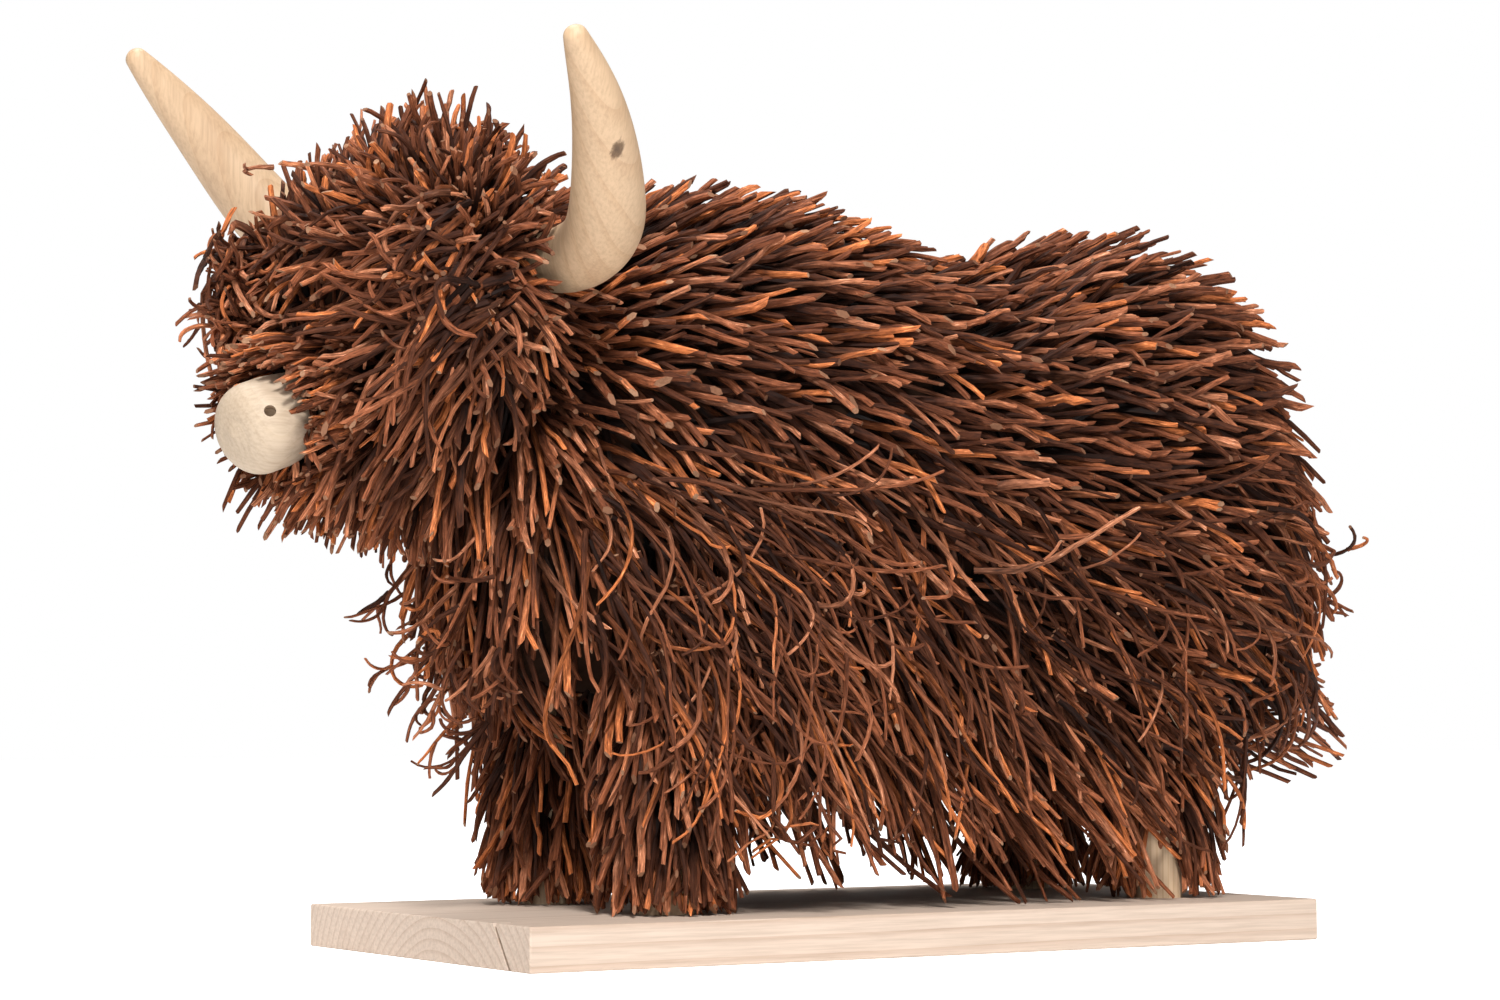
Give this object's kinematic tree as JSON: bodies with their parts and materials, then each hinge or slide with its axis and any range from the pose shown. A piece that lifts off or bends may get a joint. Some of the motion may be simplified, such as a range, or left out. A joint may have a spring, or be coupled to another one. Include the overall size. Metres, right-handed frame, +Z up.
{
  "type": "twig highland cow figure",
  "caption": "Standing shaggy-coated cattle figure of cut brown twigs, with pale carved wooden horns and muzzle, its head turned to its left, fixed on a plain wooden plank.",
  "frame": {"origin": "centre of the plank's underside, which is the face the figure stands on", "axes": "+Z up; the figure faces -Y; +X is the figure's own left side, the side it turns its head to"},
  "size_m": [0.2853, 0.6636, 0.4215],
  "materials": {
    "bark_twigs": "rough bark, matt, with pale cut ends",
    "carved_wood": "sanded, bare, satin",
    "plank_wood": "planed softwood, bare, matt",
    "core_wood": "whittled, bare, matt",
    "stained_wood": "dark brown stain, matt",
    "dowel_wood": "turned, bare, smooth",
    "screw_steel": "zinc plated"
  },
  "bodies": {
    "root": {"back_twigs": "bark_twigs", "base_plank": "plank_wood", "belly_twigs": "bark_twigs", "body_block": "stained_wood", "chest_twigs": "bark_twigs", "chin_twigs": "bark_twigs", "croup_twigs": "bark_twigs", "crown_twigs": "bark_twigs", "forelock_twigs": "bark_twigs", "head_block": "stained_wood", "horn_dowels": "dowel_wood", "left_belly_fringe": "bark_twigs", "left_cheek_twigs": "bark_twigs", "left_flank_twigs": "bark_twigs", "left_front_leg": "core_wood", "left_front_leg_twigs": "bark_twigs", "left_haunch_twigs": "bark_twigs", "left_horn": "carved_wood", "left_rear_leg": "core_wood", "left_rear_leg_twigs": "bark_twigs", "left_shoulder_twigs": "bark_twigs", "leg_screws": "screw_steel", "mane_twigs": "bark_twigs", "muzzle": "carved_wood", "muzzle_dowel": "dowel_wood", "neck_peg": "stained_wood", "right_belly_fringe": "bark_twigs", "right_cheek_twigs": "bark_twigs", "right_flank_twigs": "bark_twigs", "right_front_leg": "core_wood", "right_front_leg_twigs": "bark_twigs", "right_haunch_twigs": "bark_twigs", "right_horn": "carved_wood", "right_rear_leg": "core_wood", "right_rear_leg_twigs": "bark_twigs", "right_shoulder_twigs": "bark_twigs", "rump_twigs": "bark_twigs", "snout_twigs": "bark_twigs", "tail_twigs": "bark_twigs"}
  },
  "joints": []
}
